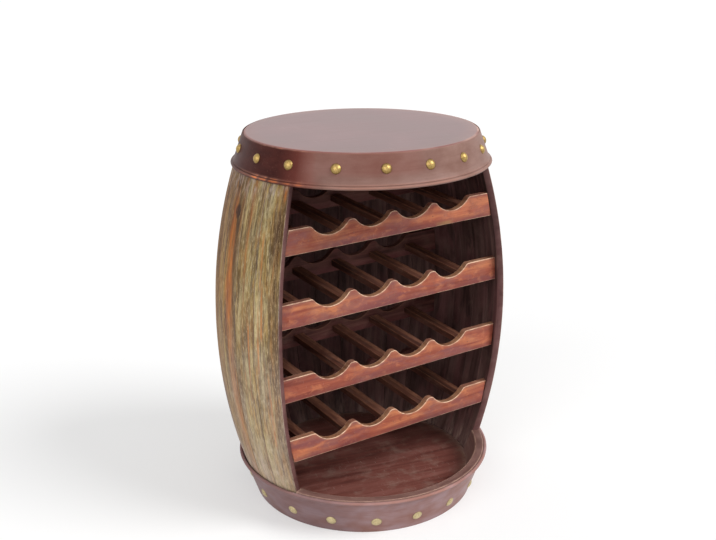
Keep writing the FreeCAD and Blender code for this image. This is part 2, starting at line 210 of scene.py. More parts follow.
class Nodes:
    """Node tree with short calls. Its ramps and mixes take colours as screen values from 0 to 255."""

    def __init__(self, tree):
        self.tree = tree

    def put(self, socket, value):
        if isinstance(value, bpy.types.NodeSocket):
            self.tree.links.new(value, socket)
        else:
            socket.default_value = value

    def put_all(self, node, inputs):
        for socket, value in inputs.items():
            self.put(node.inputs[socket.replace("_", " ")], value)

    def node(self, kind, settings=(), **inputs):
        node = self.tree.nodes.new(f"ShaderNode{kind}")
        for setting, value in dict(settings).items():
            setattr(node, setting, value)
        self.put_all(node, inputs)
        return node

    def ramp(self, share, *stops):
        """Colour ramp from stops of a place and a colour, or of a place and a grey from 0 to 1."""
        node = self.node("ValToRGB", Fac=share)
        elements = node.color_ramp.elements
        while len(elements) < len(stops):
            elements.new(0.5)
        for element, (place, colour) in zip(elements, stops):
            element.position = place
            element.color = srgb(*colour) if isinstance(colour, tuple) else (colour, colour, colour, 1)
        return node.outputs["Color"]

    def mix(self, share, first, second, way="MIX"):
        node = self.node("Mix", {"data_type": "RGBA", "blend_type": way}, Factor=share)
        for socket, value in ((node.inputs[6], first), (node.inputs[7], second)):
            self.put(socket, srgb(*value) if isinstance(value, tuple) else value)
        return node.outputs[2]

    def maths(self, way, first, second=0.0, clamp=False):
        node = self.node("Math", {"operation": way, "use_clamp": clamp})
        self.put(node.inputs[0], first)
        self.put(node.inputs[1], second)
        return node.outputs[0]

    def seen_directly(self):
        """Share that is 1 where a ray comes from the camera, a reflection or a clear piece."""
        path = self.node("LightPath").outputs
        share = path["Is Camera Ray"]
        for kind in ("Is Glossy Ray", "Is Transmission Ray"):
            share = self.maths("MAXIMUM", share, path[kind])
        return share


class Finish(Nodes):
    """Material, with short calls for the layers that a piece carries and for coats over a base colour."""

    def __init__(self, name, **shader):
        self.material = bpy.data.materials.new(name)
        self.material.use_nodes = True
        super().__init__(self.material.node_tree)
        self.shader = self.tree.nodes["Principled BSDF"]
        self.put_all(self.shader, shader)
        self.base = None

    def layer(self, name, output="Fac"):
        return self.node("Attribute", {"attribute_name": name}).outputs[output]

    def noise(self, across, along, deep, detail=3, rough=0.5, twist=0.0):
        """Noise on the grain coordinates, which are stretched by three scales."""
        place = self.node("Mapping", Vector=self.layer("grain", "Vector"), Scale=(across, along, deep))
        return self.node("TexNoise", Vector=place.outputs[0], Scale=1.0, Detail=detail, Roughness=rough,
                         Distortion=twist).outputs["Fac"]

    def masked(self, name, mask, start, end):
        """Share of a layer of the piece that shows through a ramp of two greys on a mask."""
        return self.maths("MULTIPLY", self.layer(name), self.ramp(mask, start, end), clamp=True)

    def bump(self, height, strength, distance, before=None):
        node = self.node("Bump", Strength=strength, Distance=distance, Height=height)
        if before:
            self.put(node.inputs["Normal"], before)
        return node.outputs["Normal"]

    def lay(self, share, colour, way="MIX"):
        """Lay a share of a colour over the base."""
        self.base = self.mix(share, self.base, colour, way)

    def coat(self, mask, start, end, colour):
        """Lay a colour over the base, as strongly as a ramp of two greys makes of a mask."""
        self.lay(self.ramp(mask, start, end), colour)

    def finish(self, rough, normal):
        self.put_all(self.shader, {"Base Color": self.base, "Roughness": rough, "Normal": normal})
        return self.material


def weathered_wood():
    """Thin olive and grey stain on the outside of the staves, over coarse uneven grain."""
    wood = Finish("stave_weathered", Specular_IOR_Level=0.25)
    shades = wood.noise(17, 3.5, 4, twist=0.8)
    hues = wood.noise(40, 5, 5, detail=4, rough=0.55, twist=0.6)
    patches = wood.noise(28, 12, 5, detail=5, rough=0.6, twist=0.5)
    greys = wood.noise(64, 7, 9, detail=4, rough=0.6, twist=0.7)
    streaks = wood.noise(115, 9, 20, detail=5, rough=0.66, twist=0.5)
    lines = wood.noise(260, 14, 30, detail=4, rough=0.65, twist=0.3)
    fibres = wood.noise(430, 80, 60, detail=5, rough=0.75)
    wood.base = wood.ramp(hues, (0.32, (154, 116, 64)), (0.43, (192, 164, 104)), (0.52, (166, 154, 112)),
                          (0.6, (206, 174, 112)), (0.7, (194, 140, 86)))
    wood.coat(patches, (0.46, 0.0), (0.6, 0.7), (164, 156, 122))
    wood.coat(patches, (0.3, 0.85), (0.43, 0.0), (124, 106, 54))
    wood.coat(greys, (0.5, 0.0), (0.62, 0.75), (154, 142, 124))
    shade = wood.ramp(shades, (0.36, (168, 150, 132)), (0.54, (255, 252, 244)))
    wood.lay(1.0, shade, "MULTIPLY")
    wood.coat(streaks, (0.34, 0.95), (0.5, 0.0), (96, 76, 44))
    wood.coat(streaks, (0.52, 0.0), (0.68, 0.8), (222, 206, 160))
    wood.coat(lines, (0.3, 0.95), (0.45, 0.0), (80, 52, 36))
    wood.coat(lines, (0.57, 0.0), (0.7, 0.65), (208, 156, 94))
    wood.coat(fibres, (0.3, 0.8), (0.47, 0.0), (86, 62, 38))
    wood.coat(fibres, (0.53, 0.0), (0.7, 0.75), (236, 218, 180))
    stains = wood.noise(240, 20, 20, detail=4)
    stained = wood.masked("stain", stains, (0.36, 0.35), (0.56, 1.0))
    wood.lay(stained, wood.ramp(lines, (0.35, (132, 74, 38)), (0.6, (218, 140, 70))))
    # The tone layer multiplies in the stain depth, which includes painted shade beside the opening.
    tone = wood.ramp(wood.layer("tone"), (0.0, (214, 180, 160)), (0.5, (242, 228, 206)),
                     (1.0, (255, 253, 246)))
    wood.lay(1.0, tone, "MULTIPLY")
    worn = wood.masked("wear", fibres, (0.36, 0.5), (0.56, 1.0))
    wood.lay(worn, wood.ramp(patches, (0.35, (184, 160, 148)), (0.65, (218, 200, 188))))
    # The dirt layer darkens joints and knots, and also lays painted shade towards the top of the staves.
    wood.lay(wood.masked("dirt", fibres, (0.3, 1.0), (0.62, 0.84)), (52, 28, 22))
    rough = wood.ramp(hues, (0.3, 0.66), (0.7, 0.84))
    normal = wood.bump(streaks, 0.25, 0.0014)
    normal = wood.bump(lines, 0.4, 0.0008, normal)
    normal = wood.bump(fibres, 0.45, 0.0005, normal)
    return wood.finish(rough, normal)


def mahogany(name, dark, middle, light, pale, gloss=0.5, contrast=1.0, specular=0.15, plum=0.0,
             scratched=0.0, scuffed=0.2, blotted=0.0):
    """Red brown stain over close straight grain, pale where it is worn.

    It can have plum patches, dark and light blots, fine scratches and scuffs."""
    wood = Finish(name, Specular_IOR_Level=specular)
    fine = wood.noise(520, 10, 80, detail=5, rough=0.6)
    broad = wood.noise(62, 5, 14, detail=4, rough=0.55, twist=0.7)
    pores = wood.noise(1200, 45, 200, rough=0.65)
    wood.base = wood.ramp(broad, (0.34, dark), (0.5, middle), (0.66, light))
    wood.coat(fine, (0.28, 0.6 * contrast), (0.5, 0.0), dark)
    wood.coat(pores, (0.34, 0.45 * contrast), (0.46, 0.0), dark)
    tone = wood.ramp(wood.layer("tone"), (0.0, (186, 180, 180)), (1.0, (255, 255, 255)))
    wood.lay(1.0, tone, "MULTIPLY")
    plums = wood.noise(30, 10, 20, detail=5, rough=0.6, twist=0.5)
    wood.coat(plums, (0.47, 0.0), (0.6, plum), (130, 80, 82))
    blots = wood.noise(80, 44, 50, detail=5, rough=0.65, twist=0.4)
    wood.coat(blots, (0.54, 0.0), (0.68, blotted), dark)
    wood.coat(blots, (0.34, 0.6 * blotted), (0.46, 0.0), light)
    edges = wood.masked("dirt", plums, (0.3, 1.0), (0.62, 0.6))
    wood.lay(edges, (112, 60, 62))
    scratches = wood.noise(60, 900, 40, rough=0.55, twist=0.4)
    wood.coat(scratches, (0.68, 0.0), (0.74, scratched), (190, 172, 160))
    scuffs = wood.noise(30, 22, 30, detail=6, rough=0.7)
    wood.coat(scuffs, (0.5, 0.0), (0.7, scuffed), (150, 122, 110))
    wood.lay(wood.masked("stain", broad, (0.3, 0.6), (0.6, 1.0)), (142, 124, 82))
    rubs = wood.noise(260, 60, 60, detail=4)
    worn = wood.masked("wear", rubs, (0.36, 0.25), (0.6, 1.0))
    wood.lay(worn, pale)
    rough = wood.ramp(broad, (0.3, gloss), (0.7, gloss + 0.16))
    normal = wood.bump(fine, 0.3, 0.0006)
    normal = wood.bump(pores, 0.2, 0.0003, normal)
    return wood.finish(rough, normal)


def hoop_paint():
    """Satin mauve brown paint over sheet, with copper worn through at the roll, brightest on its upper side
    as a painted highlight.

    The tone turns it from brown to mauve. The stain lays painted shade, darkest in a mottle, and the dirt
    lays painted shade in dull mauve."""
    paint = Finish("hoop_paint", Specular_IOR_Level=0.1)
    clouds = paint.noise(14, 26, 14, detail=5, rough=0.6)
    specks = paint.noise(420, 420, 420, rough=0.6)
    strokes = paint.noise(16, 300, 16, detail=4, rough=0.6)
    mottle = paint.noise(34, 80, 34, detail=5, rough=0.65)
    paint.base = paint.ramp(clouds, (0.3, (126, 92, 82)), (0.52, (144, 112, 102)), (0.72, (156, 126, 118)))
    blots = paint.noise(24, 44, 24, detail=2)
    mauve = paint.ramp(blots, (0.32, (156, 114, 106)), (0.5, (166, 130, 128)), (0.66, (174, 144, 146)))
    paint.lay(paint.layer("tone"), mauve)
    paint.coat(strokes, (0.3, 0.2), (0.5, 0.0), (108, 68, 57))
    # Painted shade: the stain layer darkens the hoop where it turns from the light, deepest in a dark mottle.
    light_shade_tint = paint.ramp(paint.layer("stain"), (0.2, (102, 66, 60)), (0.4, (122, 62, 52)))
    deep_shade_mottle = paint.ramp(mottle, (0.3, (58, 22, 18)), (0.7, (76, 34, 28)))
    shade_and_patina = paint.mix(paint.ramp(paint.layer("stain"), (0.35, 0.0), (0.95, 1.0)), light_shade_tint, deep_shade_mottle)
    paint.lay(paint.maths("MULTIPLY", paint.layer("stain"), 1.5, clamp=True), shade_and_patina)
    paint.coat(specks, (0.62, 0.0), (0.74, 0.2), (166, 126, 110))
    # The wear here includes the painted highlight on the bead's upper side.
    rubbed_and_lit = paint.masked("wear", clouds, (0.38, 0.35), (0.58, 1.0))
    paint.lay(rubbed_and_lit, paint.ramp(paint.layer("wear"), (0.6, (168, 118, 101)), (1.0, (232, 134, 80))))
    # The dirt layer here is painted shade in dull mauve at the base hoop's left.
    paint.lay(paint.masked("dirt", clouds, (0.3, 1.0), (0.7, 0.7)), (94, 80, 88))
    rough = paint.ramp(clouds, (0.3, 0.38), (0.7, 0.5))
    normal = paint.bump(strokes, 0.06, 0.0006)
    normal = paint.bump(specks, 0.06, 0.0003, normal)
    return paint.finish(rough, normal)


def top_paint():
    """Thin mauve brown paint on the round top, worn pale at the rim, and paler on the side towards the light
    as a painted highlight.
    """
    paint = Finish("top_paint", Specular_IOR_Level=0.5)
    clouds = paint.noise(7, 7, 7, detail=5, rough=0.6)
    grain = paint.noise(260, 8, 20, detail=4, rough=0.6)
    scratches = paint.noise(18, 420, 20)
    paint.base = paint.ramp(clouds, (0.3, (124, 97, 96)), (0.5, (136, 110, 110)), (0.7, (148, 122, 122)))
    paint.coat(grain, (0.3, 0.22), (0.5, 0.0), (110, 82, 80))
    paint.coat(scratches, (0.66, 0.0), (0.74, 0.2), (176, 154, 152))
    worn = paint.masked("wear", clouds, (0.3, 0.5), (0.6, 1.0))
    paint.lay(worn, (210, 168, 150))
    # The stain is a darker red on the rim's side away from the light: painted shade.
    paint.lay(paint.layer("stain"), (128, 68, 60))
    rough = paint.ramp(clouds, (0.3, 0.36), (0.7, 0.5))
    normal = paint.bump(grain, 0.1, 0.0006)
    return paint.finish(rough, normal)


def brass(name, dark, light, gloss):
    """Brass nail heads, dull at the brim."""
    metal = Finish(name, Metallic=1.0)
    spots = metal.noise(500, 500, 500, detail=4, rough=0.6)
    metal.base = metal.ramp(spots, (0.3, dark), (0.6, light))
    # The wear layer darkens the brim and, less, the lower dome.
    metal.lay(metal.layer("wear"), (84, 56, 34))
    rough = metal.ramp(spots, (0.3, gloss), (0.7, gloss + 0.14))
    normal = metal.bump(spots, 0.1, 0.0004)
    return metal.finish(rough, normal)


def steel():
    """Dull brad heads under the stain."""
    metal = Finish("brad_steel", Metallic=0.4, Specular_IOR_Level=0.3)
    spots = metal.noise(900, 900, 900)
    metal.base = metal.ramp(spots, (0.3, (112, 64, 52)), (0.7, (172, 116, 98)))
    return metal.finish(metal.ramp(spots, (0.3, 0.45), (0.7, 0.6)), metal.bump(spots, 0.1, 0.0002))


STAVE_OUTSIDE = weathered_wood()
STAVE_INSIDE = mahogany("stave_mahogany", (74, 52, 49), (108, 80, 76), (134, 104, 98), (178, 150, 138),
                        plum=0.3)
STAVE_EDGE = mahogany("stave_edge", (80, 47, 45), (112, 71, 69), (138, 96, 94), (176, 140, 136), specular=0.2)
RAIL_STAIN = mahogany("rail_stain", (142, 70, 54), (180, 98, 74), (214, 134, 92), (244, 208, 176),
                      gloss=0.42, contrast=0.6, specular=0.25, plum=0.7, scratched=0.3, blotted=0.75)
RAIL_TOP = mahogany("rail_top", (92, 54, 38), (136, 88, 62), (168, 120, 88), (214, 168, 132), gloss=0.55)
# Darker copy of the rail stain for the back rails, deep inside the barrel: painted shade.
BACK_SHADED_STAIN = mahogany("back_rail_shaded_stain", (72, 42, 38), (104, 64, 58), (128, 86, 78), (120, 82, 66))
SLAT_STAIN = mahogany("slat_stain", (66, 40, 34), (102, 62, 50), (132, 88, 70), (150, 104, 80))
PANEL_STAIN = mahogany("panel_stain", (110, 62, 55), (138, 82, 72), (156, 100, 90), (170, 144, 132),
                       gloss=0.4, contrast=0.8, specular=0.4, scratched=0.7, scuffed=0.6)
SILL_STAIN = mahogany("sill_stain", (104, 72, 65), (138, 102, 94), (158, 124, 116), (200, 164, 144),
                      gloss=0.48, specular=0.25, scuffed=0.4)
HOOP_PAINT = hoop_paint()
TOP_PAINT = top_paint()
TOP_BRASS = brass("top_nail_brass", (140, 110, 60), (192, 164, 104), 0.38)
BASE_BRASS = brass("base_nail_brass", (176, 158, 116), (222, 206, 162), 0.4)
STEEL = steel()


# Staves

OUTER_COLUMNS = 25
INNER_COLUMNS = 6
STAVE_ROWS = 112
CROWN = 0.6 * MM
INNER_ARRIS = 0.8 * MM
ARRIS_TURNS = (30, 60, 90)
ARRIS_WEAR = 0.6
OUTSIDE, SIDE, INSIDE = 0, 1, 2

# Knots on the outside of the staves, as (stave, across, height of the middle, half their length).
KNOTS = (
    (3, 3 * MM, 0.574, 15 * MM),
    (9, 8 * MM, 0.22, 11 * MM),
    (13, -9 * MM, 0.44, 12 * MM),
    (18, 6 * MM, 0.3, 12 * MM),
)

# Orange streaks where the stain is thin, as (stave, across, low end, high end, half width).
STREAKS = (
    (1, 19 * MM, 0.6, 0.7, 8 * MM),
    (1, -15 * MM, 0.45, 0.56, 2.4 * MM),
    (1, -10 * MM, 0.36, 0.48, 2.4 * MM),
    (1, -18 * MM, 0.3, 0.44, 2.2 * MM),
    (1, 3 * MM, 0.16, 0.32, 2.2 * MM),
    (2, 12 * MM, 0.24, 0.4, 2.6 * MM),
    (7, 4 * MM, 0.3, 0.5, 3 * MM),
    (12, -8 * MM, 0.18, 0.42, 3 * MM),
    (16, 10 * MM, 0.34, 0.56, 3 * MM),
)


def stave_section(number, height):
    """Points across a stave at a height, as (across, radius, wear, the side that the next face is on)."""
    outer = swell_radius(height, FLAT_SHARE)
    inner = swell_radius(height, FLAT_SHARE, STAVE_THICKNESS)
    slope = math.tan(CUT_ANGLE)
    half = outer * slope
    left, right = ((0.75 + 0.4 * ripple(2 * number + side, height * 30)) * MM for side in (-1, 1))
    section = []

    def arris(side, size, turns):
        for degrees in turns:
            turn = math.radians(degrees)
            across = side * (half - size + size * math.sin(turn) * 0.98)
            section.append((across, outer - size + size * math.cos(turn), ARRIS_WEAR, OUTSIDE))

    for n in range(OUTER_COLUMNS):
        across = -half + left + (2 * half - left - right) * n / (OUTER_COLUMNS - 1)
        lift = CROWN * (1 - (across / half) ** 2)
        dent = 0.3 * MM * ripple(number, across * 110, height * 5) - 0.16 * MM
        section.append((across, outer + lift + dent, 0.0, OUTSIDE))
    arris(1, right, ARRIS_TURNS)
    section.append(((outer - 2 * right) * slope, outer - 2 * right, 0.2, SIDE))
    section.append(((inner + INNER_ARRIS) * slope, inner + INNER_ARRIS, 0.0, SIDE))
    for n in range(INNER_COLUMNS):
        share = 1 - 2 * n / (INNER_COLUMNS - 1)
        section.append((share * (inner * slope - 0.6 * MM), inner, 0.0, INSIDE))
    section.append((-(inner + INNER_ARRIS) * slope, inner + INNER_ARRIS, 0.0, SIDE))
    section.append((-(outer - 2 * left) * slope, outer - 2 * left, 0.2, SIDE))
    arris(-1, left, reversed(ARRIS_TURNS))
    return section


def stave_angle(number):
    """Turn of a stave's middle from the middle of the front, growing to the right."""
    return math.pi - (number - 0.5 - STAVE_COUNT / 2) * STAVE_ANGLE


def stave_stain(number, across, height):
    """Orange where the stain is thin: faint streaks, those of the list, and a strong one below each knot."""
    streak = ripple(number * 3, across * 110, height * 1.6)
    share = max(0.0, streak - 0.34) * 1.6
    for stave, knot_across, knot_height, size in KNOTS:
        if stave == number:
            below = knot_height - height
            drift = 2 * MM * ripple(number + 40, height * 9) - 9 * MM
            distance = abs(across - knot_across - 0.05 * below - drift)
            reach = smooth_step(-3 * size, 0.0, below) * (1 - 0.6 * smooth_step(0.07, 0.3, below))
            width = (11 + 70 * min(max(below, 0.0), 0.14) + 6 * ripple(number + 50, height * 20)) * MM
            share = max(share, reach * (1 - smooth_step(0.25 * width, width, distance)) * 1.4)
    for stave, middle, low, high, width in STREAKS:
        if stave == number:
            ends = smooth_step(low, low + 20 * MM, height) * (1 - smooth_step(high - 20 * MM, high, height))
            off = abs(across - middle - 1.2 * MM * ripple(middle * 900, height * 14))
            share = max(share, 0.9 * ends * (1 - smooth_step(0.3 * width, width, off)))
    return min(share, 1.0)


def stave_dirt(number, across, height):
    """Dark joints, painted shade towards the top with random dirt over it, and knots with a crack above and a
    dark band below.
    """
    half = swell_radius(height, FLAT_SHARE) * math.tan(CUT_ANGLE)
    edge = half - abs(across)
    side = 1 if across > 0 else -1
    joint = 1 - smooth_step(0.2 * MM, 2.0 * MM, edge)
    joint *= 0.4 + 0.6 * ripple(2 * number + side + 70, height * 14)
    # Painted shade: darker towards the top of the staves, with a little random dirt over it.
    top_shade_and_grime = 0.24 * smooth_step(0.38, 0.6, height) + 0.12 * ripple(number + 90, across * 40, height * 7)
    dirt = max(joint, top_shade_and_grime)
    for stave, knot_across, knot_height, size in KNOTS:
        if stave == number:
            spot = math.hypot((across - knot_across) * 1.15, height - knot_height) / size
            dirt = max(dirt, 1 - smooth_step(0.6, 0.95, spot))
            above = height - knot_height
            crack = 1 - smooth_step(0.5 * MM, 4.0 * MM, abs(across - knot_across + 5 * MM + 0.3 * above))
            off = abs(across - knot_across - 7 * MM + 0.05 * above)
            beside = 1 - smooth_step(2.0 * MM, 8.0 * MM, off + 1.5 * MM * ripple(number + 95, height * 30))
            beside *= smooth_step(0.0, 0.02, -above) * (1 - smooth_step(0.08, 0.24, -above))
            dirt = max(dirt, crack * smooth_step(0.0, 0.02, above) * 0.8, beside * 0.6)
    return min(dirt, 1.0)


def stave_wear(number, across, height):
    """Paler towards the feet of the staves, and pale in flecks at their heads."""
    # Paler towards the foot of the staves, fading out 0.5 m up.
    foot = 0.45 * (1 - smooth_step(0.07, 0.2, height)) + 0.36 * (1 - smooth_step(0.18, 0.5, height)) + 0.04
    flecks = max(0.0, 0.25 + 1.6 * ripple(number + 33, across * 260, height * 90))
    head = smooth_step(0.585, 0.632, height + 0.02 * ripple(number, across * 160)) * min(flecks, 0.8)
    return max(foot, head) * (0.8 + 0.4 * ripple(number + 11, across * 60, height * 9))


def stave_tone(number, place):
    """Depth of the stain. It changes from stave to stave and across each, and beside the opening it is
    darkened as painted shade.
    """
    off = math.atan2(place.x, AXIS_Y - place.y) - stave_angle(number)
    across = math.hypot(place.x, place.y - AXIS_Y) * math.sin(off)
    level = 0.52 + 0.4 * math.cos(0.95 * (number - 1.2))
    level += 0.3 * ripple(number + 61, across * 60, place.z * 2.4)
    # Painted shade: the two staves next to the opening are darkened towards their edge at it.
    inwards = {1: across, STAVE_COUNT: -across}.get(number, -1.0)
    return level - 0.55 * smooth_step(1 * MM, 13 * MM, inwards)


def make_stave(number):
    """Bent board of the barrel's wall, weathered outside and stained inside."""
    shape = Shape()
    angle = stave_angle(number)
    out = Vector((math.sin(angle), -math.cos(angle), 0))
    sideways = Vector((math.cos(angle), math.sin(angle), 0))
    axis = Vector((0, AXIS_Y, 0))
    rows = []
    for step in range(STAVE_ROWS + 1):
        height = STAVE_TOP * step / STAVE_ROWS
        section = stave_section(number, height)
        row = []
        for across, radius, wear, kind in section:
            place = axis + out * radius + sideways * across + Vector((0, 0, height))
            grain = (across + 0.7 * number, height + 0.9 * number, radius * 0.3)
            stain = dirt = 0.0
            if kind == INSIDE:
                dust = 0.2 + 0.75 * ripple(number + 23, across * 120, height * 12)
                wear = max(0.0, dust) * (1 - smooth_step(0.036, 0.085, height))
            if kind == OUTSIDE:
                wear = max(wear, stave_wear(number, across, height))
                stain = stave_stain(number, across, height)
                dirt = stave_dirt(number, across, height)
            row.append(shape.point(place, grain, wear, stain, dirt))
        rows.append(row)
    shape.tube(rows, SIDE, finish_of=lambda n: section[n][3])
    finishes = (STAVE_OUTSIDE, STAVE_EDGE, STAVE_INSIDE)
    make_piece(f"stave_board_{number:02d}", shape, finishes, "stave_wood", f"stave_{number:02d}",
               tone=lambda place: stave_tone(number, place))


# Rails and slats

FLAT_STEPS, PEAK_STEPS, HOLLOW_STEPS = 6, 7, 22
RAIL_TOP_FACES = (11, 12, 13)
SLAT_STEPS = 14


def rail_top_outline(high, reach):
    """Points and normals along a rail's upper edge, as (x, z, normal x, normal z)."""
    lanes = [(n - (LANE_COUNT - 1) / 2) * LANE_PITCH for n in range(LANE_COUNT)]
    drop = SCALLOP_RADIUS - SCALLOP_DEPTH
    between = SCALLOP_RADIUS + PEAK_ROUNDING
    fillet_across = math.sqrt(between ** 2 - (drop + PEAK_ROUNDING) ** 2)
    tangent = math.atan2(fillet_across, drop + PEAK_ROUNDING)
    outline = []

    def flat(start, end):
        for n in range(FLAT_STEPS):
            outline.append((start + (end - start) * n / FLAT_STEPS, high, 0.0, 1.0))

    def arc(x, z, radius, start, end, steps, way):
        for n in range(steps):
            turn = start + (end - start) * n / steps
            side, up = math.sin(turn), math.cos(turn)
            outline.append((x + radius * side, z + way * radius * up, way * side, up))

    left = -reach
    for lane in lanes:
        flat(left, lane - fillet_across)
        arc(lane - fillet_across, high - PEAK_ROUNDING, PEAK_ROUNDING, 0.0, tangent, PEAK_STEPS, 1)
        arc(lane, high + drop, SCALLOP_RADIUS, -tangent, tangent, HOLLOW_STEPS, -1)
        arc(lane + fillet_across, high - PEAK_ROUNDING, PEAK_ROUNDING, -tangent, 0.0, PEAK_STEPS, 1)
        left = lane + fillet_across
    flat(left, reach)
    outline.append((reach, high, 0.0, 1.0))
    return outline


def rail_bare(tier, side, x, up):
    """Greenish bare patch on the lower edge of the top front rail."""
    if tier != "top_tier" or side != "front":
        return 0.0
    edge = (5 + 6 * ripple(61, x * 60)) * MM
    across = 1 - smooth_step(8 * MM, 24 * MM, abs(x - 112 * MM))
    return across * (1 - smooth_step(edge, edge + 6 * MM, up)) * 0.65


def rail_edge(seed, x, up, share):
    """Plum along the lower edge of a rail and at its peaks, where the stain lies thick."""
    low = (1 - smooth_step(2 * MM, 15 * MM, up)) * (0.75 + 0.6 * ripple(seed + 81, x * 14))
    peak = smooth_step(0.8, 1.0, share) * (0.6 + 0.8 * ripple(seed + 82, x * 18))
    return min(max(low, peak, 0.0), 1.0)


def make_rail(tier, side):
    """Scalloped rail, with its arrises worn pale and its ends cut to the curve of the staves."""
    node = f"{tier}_{side}_rail"
    low_corner, high_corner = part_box(node)
    low, high = low_corner.z, high_corner.z
    front, back = low_corner.y, high_corner.y
    seed = TIERS.index(tier) * 2 + (side == "back")
    reach = inside_radius(high)
    shape = Shape()
    rows = []
    for x, z, normal_x, normal_z in rail_top_outline(high, reach):
        arris = (0.9 + 0.45 * ripple(seed, x * 40)) * MM
        wave = 0.15 * MM * ripple(seed + 30, x * 25)
        low_arris = (0.7 + 0.3 * ripple(seed + 60, x * 40)) * MM

        def under(depth, y, wear):
            return x - normal_x * depth, y, z - normal_z * depth, wear

        section = [
            (x, front + low_arris, low, 0.4),
            (x, front + 0.3 * low_arris, low + 0.3 * low_arris, 0.8),
            (x, front, low + low_arris, 0.5),
            *((x, front, low + up, 0.0) for up in (low_arris + 0.6 * MM, 5 * MM, 9 * MM, 14 * MM)),
            under(6 * arris, front, 0.0),
            under(arris + 0.4 * MM, front, 0.1),
            under(arris, front, 0.85),
            under(0.3 * arris, front + 0.3 * arris, 1.0),
            (x, front + arris, z + wave, 0.85),
            (x, front + arris + 0.5 * MM, z + wave, 0.2),
            (x, back - arris - 0.9 * MM, z + wave, 0.2),
            (x, back - arris, z + wave, 0.7),
            under(0.3 * arris, back - 0.3 * arris, 0.8),
            under(arris, back, 0.5),
            under(arris + 0.9 * MM, back, 0.0),
            (x, back, low + low_arris, 0.2),
            (x, back - low_arris, low, 0.3),
        ]
        row = []
        for across, y, height, wear in section:
            limit = math.sqrt(inside_radius(height) ** 2 - (y - AXIS_Y) ** 2)
            across = min(max(across, -limit), limit)
            up = height - low
            grain = (height + 0.31 * seed, across + 0.53 * seed, y)
            bare = rail_bare(tier, side, across, up)
            edge = rail_edge(seed, across, up, up / (high - low)) * (1 - bare)
            row.append(shape.point((across, y, height), grain, wear, bare, edge))
        rows.append(row)
    shape.tube(rows, finish_of=lambda n: 1 if n in RAIL_TOP_FACES else 0)
    rail_tone = 0.7 + 0.25 * ripple(seed + 5, 0.4)

    def tone(place):
        # The top rail darkens towards its left end: painted shade, with the light coming from the right.
        if tier == "top_tier":
            return 0.3 + 0.7 * smooth_step(-0.2, 0.16, place.x)
        return rail_tone + 0.25 * ripple(seed + 12, place.x * 9)

    # The back rails take the darker stain, which paints their shade.
    finishes = (RAIL_STAIN, RAIL_TOP) if side == "front" else (BACK_SHADED_STAIN, BACK_SHADED_STAIN)
    make_piece(f"{tier}_{side}_rail_board", shape, finishes, "rail_wood", node, tone=tone)


def make_slat(tier, number):
    """Plain slat between two rails, which rises to the back one."""
    node = f"{tier}_slat_{number}"
    low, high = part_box(node)
    rise = high.z - low.z - SLAT_HEIGHT
    seed = TIERS.index(tier) * SLAT_COUNT + number
    shape = Shape()
    rows = []
    left, right = low.x, high.x
    width = right - left
    for step in range(SLAT_STEPS + 1):
        share = step / SLAT_STEPS
        y = low.y + (high.y - low.y) * share
        base = low.z + rise * share
        top = base + SLAT_HEIGHT
        arris = (0.8 + 0.3 * ripple(seed, y * 30)) * MM
        side = [(arris, base, 0.3), (0.3 * arris, base + 0.3 * arris, 0.4), (0, base + arris, 0.3),
                (0, base + 2 * arris, 0.0), (0, top - 2 * arris, 0.0), (0, top - arris, 0.5),
                (0.3 * arris, top - 0.3 * arris, 0.8), (arris, top, 0.5)]
        flat = [(2 * arris, 0.0), (0.45 * width, 0.0), (0.62 * width, 0.6), (width - 2 * arris, 0.5)]
        section = [(left + inset, z, wear) for inset, z, wear in side]
        section += [(left + across, top, wear) for across, wear in flat]
        section += [(right - inset, z, wear) for inset, z, wear in reversed(side)]
        row = []
        for x, z, wear in section:
            row.append(shape.point((x, y, z), (x + z + 0.3 * seed, y + 0.7 * seed, z), wear))
        rows.append(row)
    shape.tube(rows)
    tone = 0.6 + 0.4 * ripple(seed + 9, 0.6)
    make_piece(f"{tier}_slat_board_{number}", shape, (SLAT_STAIN,), "slat_wood", node, tone=tone)


# Turned pieces

HOOP_SEGMENTS = 256
DISC_SEGMENTS = 192
CURB_SEGMENTS = 96


def lathe(shape, outline, segments, marks_of, start=0.0, sweep=2 * math.pi, wobble=None, flipped=False):
    """Rows of an outline of (radius, height, wear) that is turned about the barrel's axis.

    marks_of gives the wear, the stain and the dirt of a point at an angle and a height."""
    closed = sweep >= 2 * math.pi - 1e-6
    rows = []
    for step in range(segments if closed else segments + 1):
        angle = start + sweep * step / segments
        row = []
        for radius, height, wear in outline:
            extra = wobble(angle, height) if wobble else 0.0
            place = round_about(radius + extra, angle, height)
            grain = (place.x, height, place.y) if closed else (height, 0.2 * angle, radius)
            row.append(shape.point(place, grain, *marks_of(angle, height, wear)))
        rows.append(row[::-1] if flipped else row)
    return rows


def bead_points(centre_radius, centre_height, size, start, end, count, wear):
    """Points on a bead's circle, from one turn to another in degrees, 0 being outwards and 90 up.

    The wear is strongest on the side that faces outwards and up, towards the light, where it is partly a
    painted highlight."""
    points = []
    for n in range(count + 1):
        turn = math.radians(start + (end - start) * n / count)
        # Painted highlight: the bead's wear, pale and copper, is laid strongest on its side towards the
        # light.
        lit = max(0.0, math.cos(turn - math.radians(40))) ** 2
        out, up = size * math.cos(turn), size * math.sin(turn)
        points.append((centre_radius + out, centre_height + up, wear * lit))
    return points


def hoop_rubbed(angle):
    """Share of the rolled edge that is worn."""
    return 0.35 + 0.5 * smooth_step(-0.2, 0.5, ripple(21, math.sin(angle) * 4, math.cos(angle) * 4))


def away_from_light(angle):
    """Share that a point of a hoop is turned from the light, which comes from the front right."""
    return math.sin((angle - math.radians(40)) / 2) ** 2


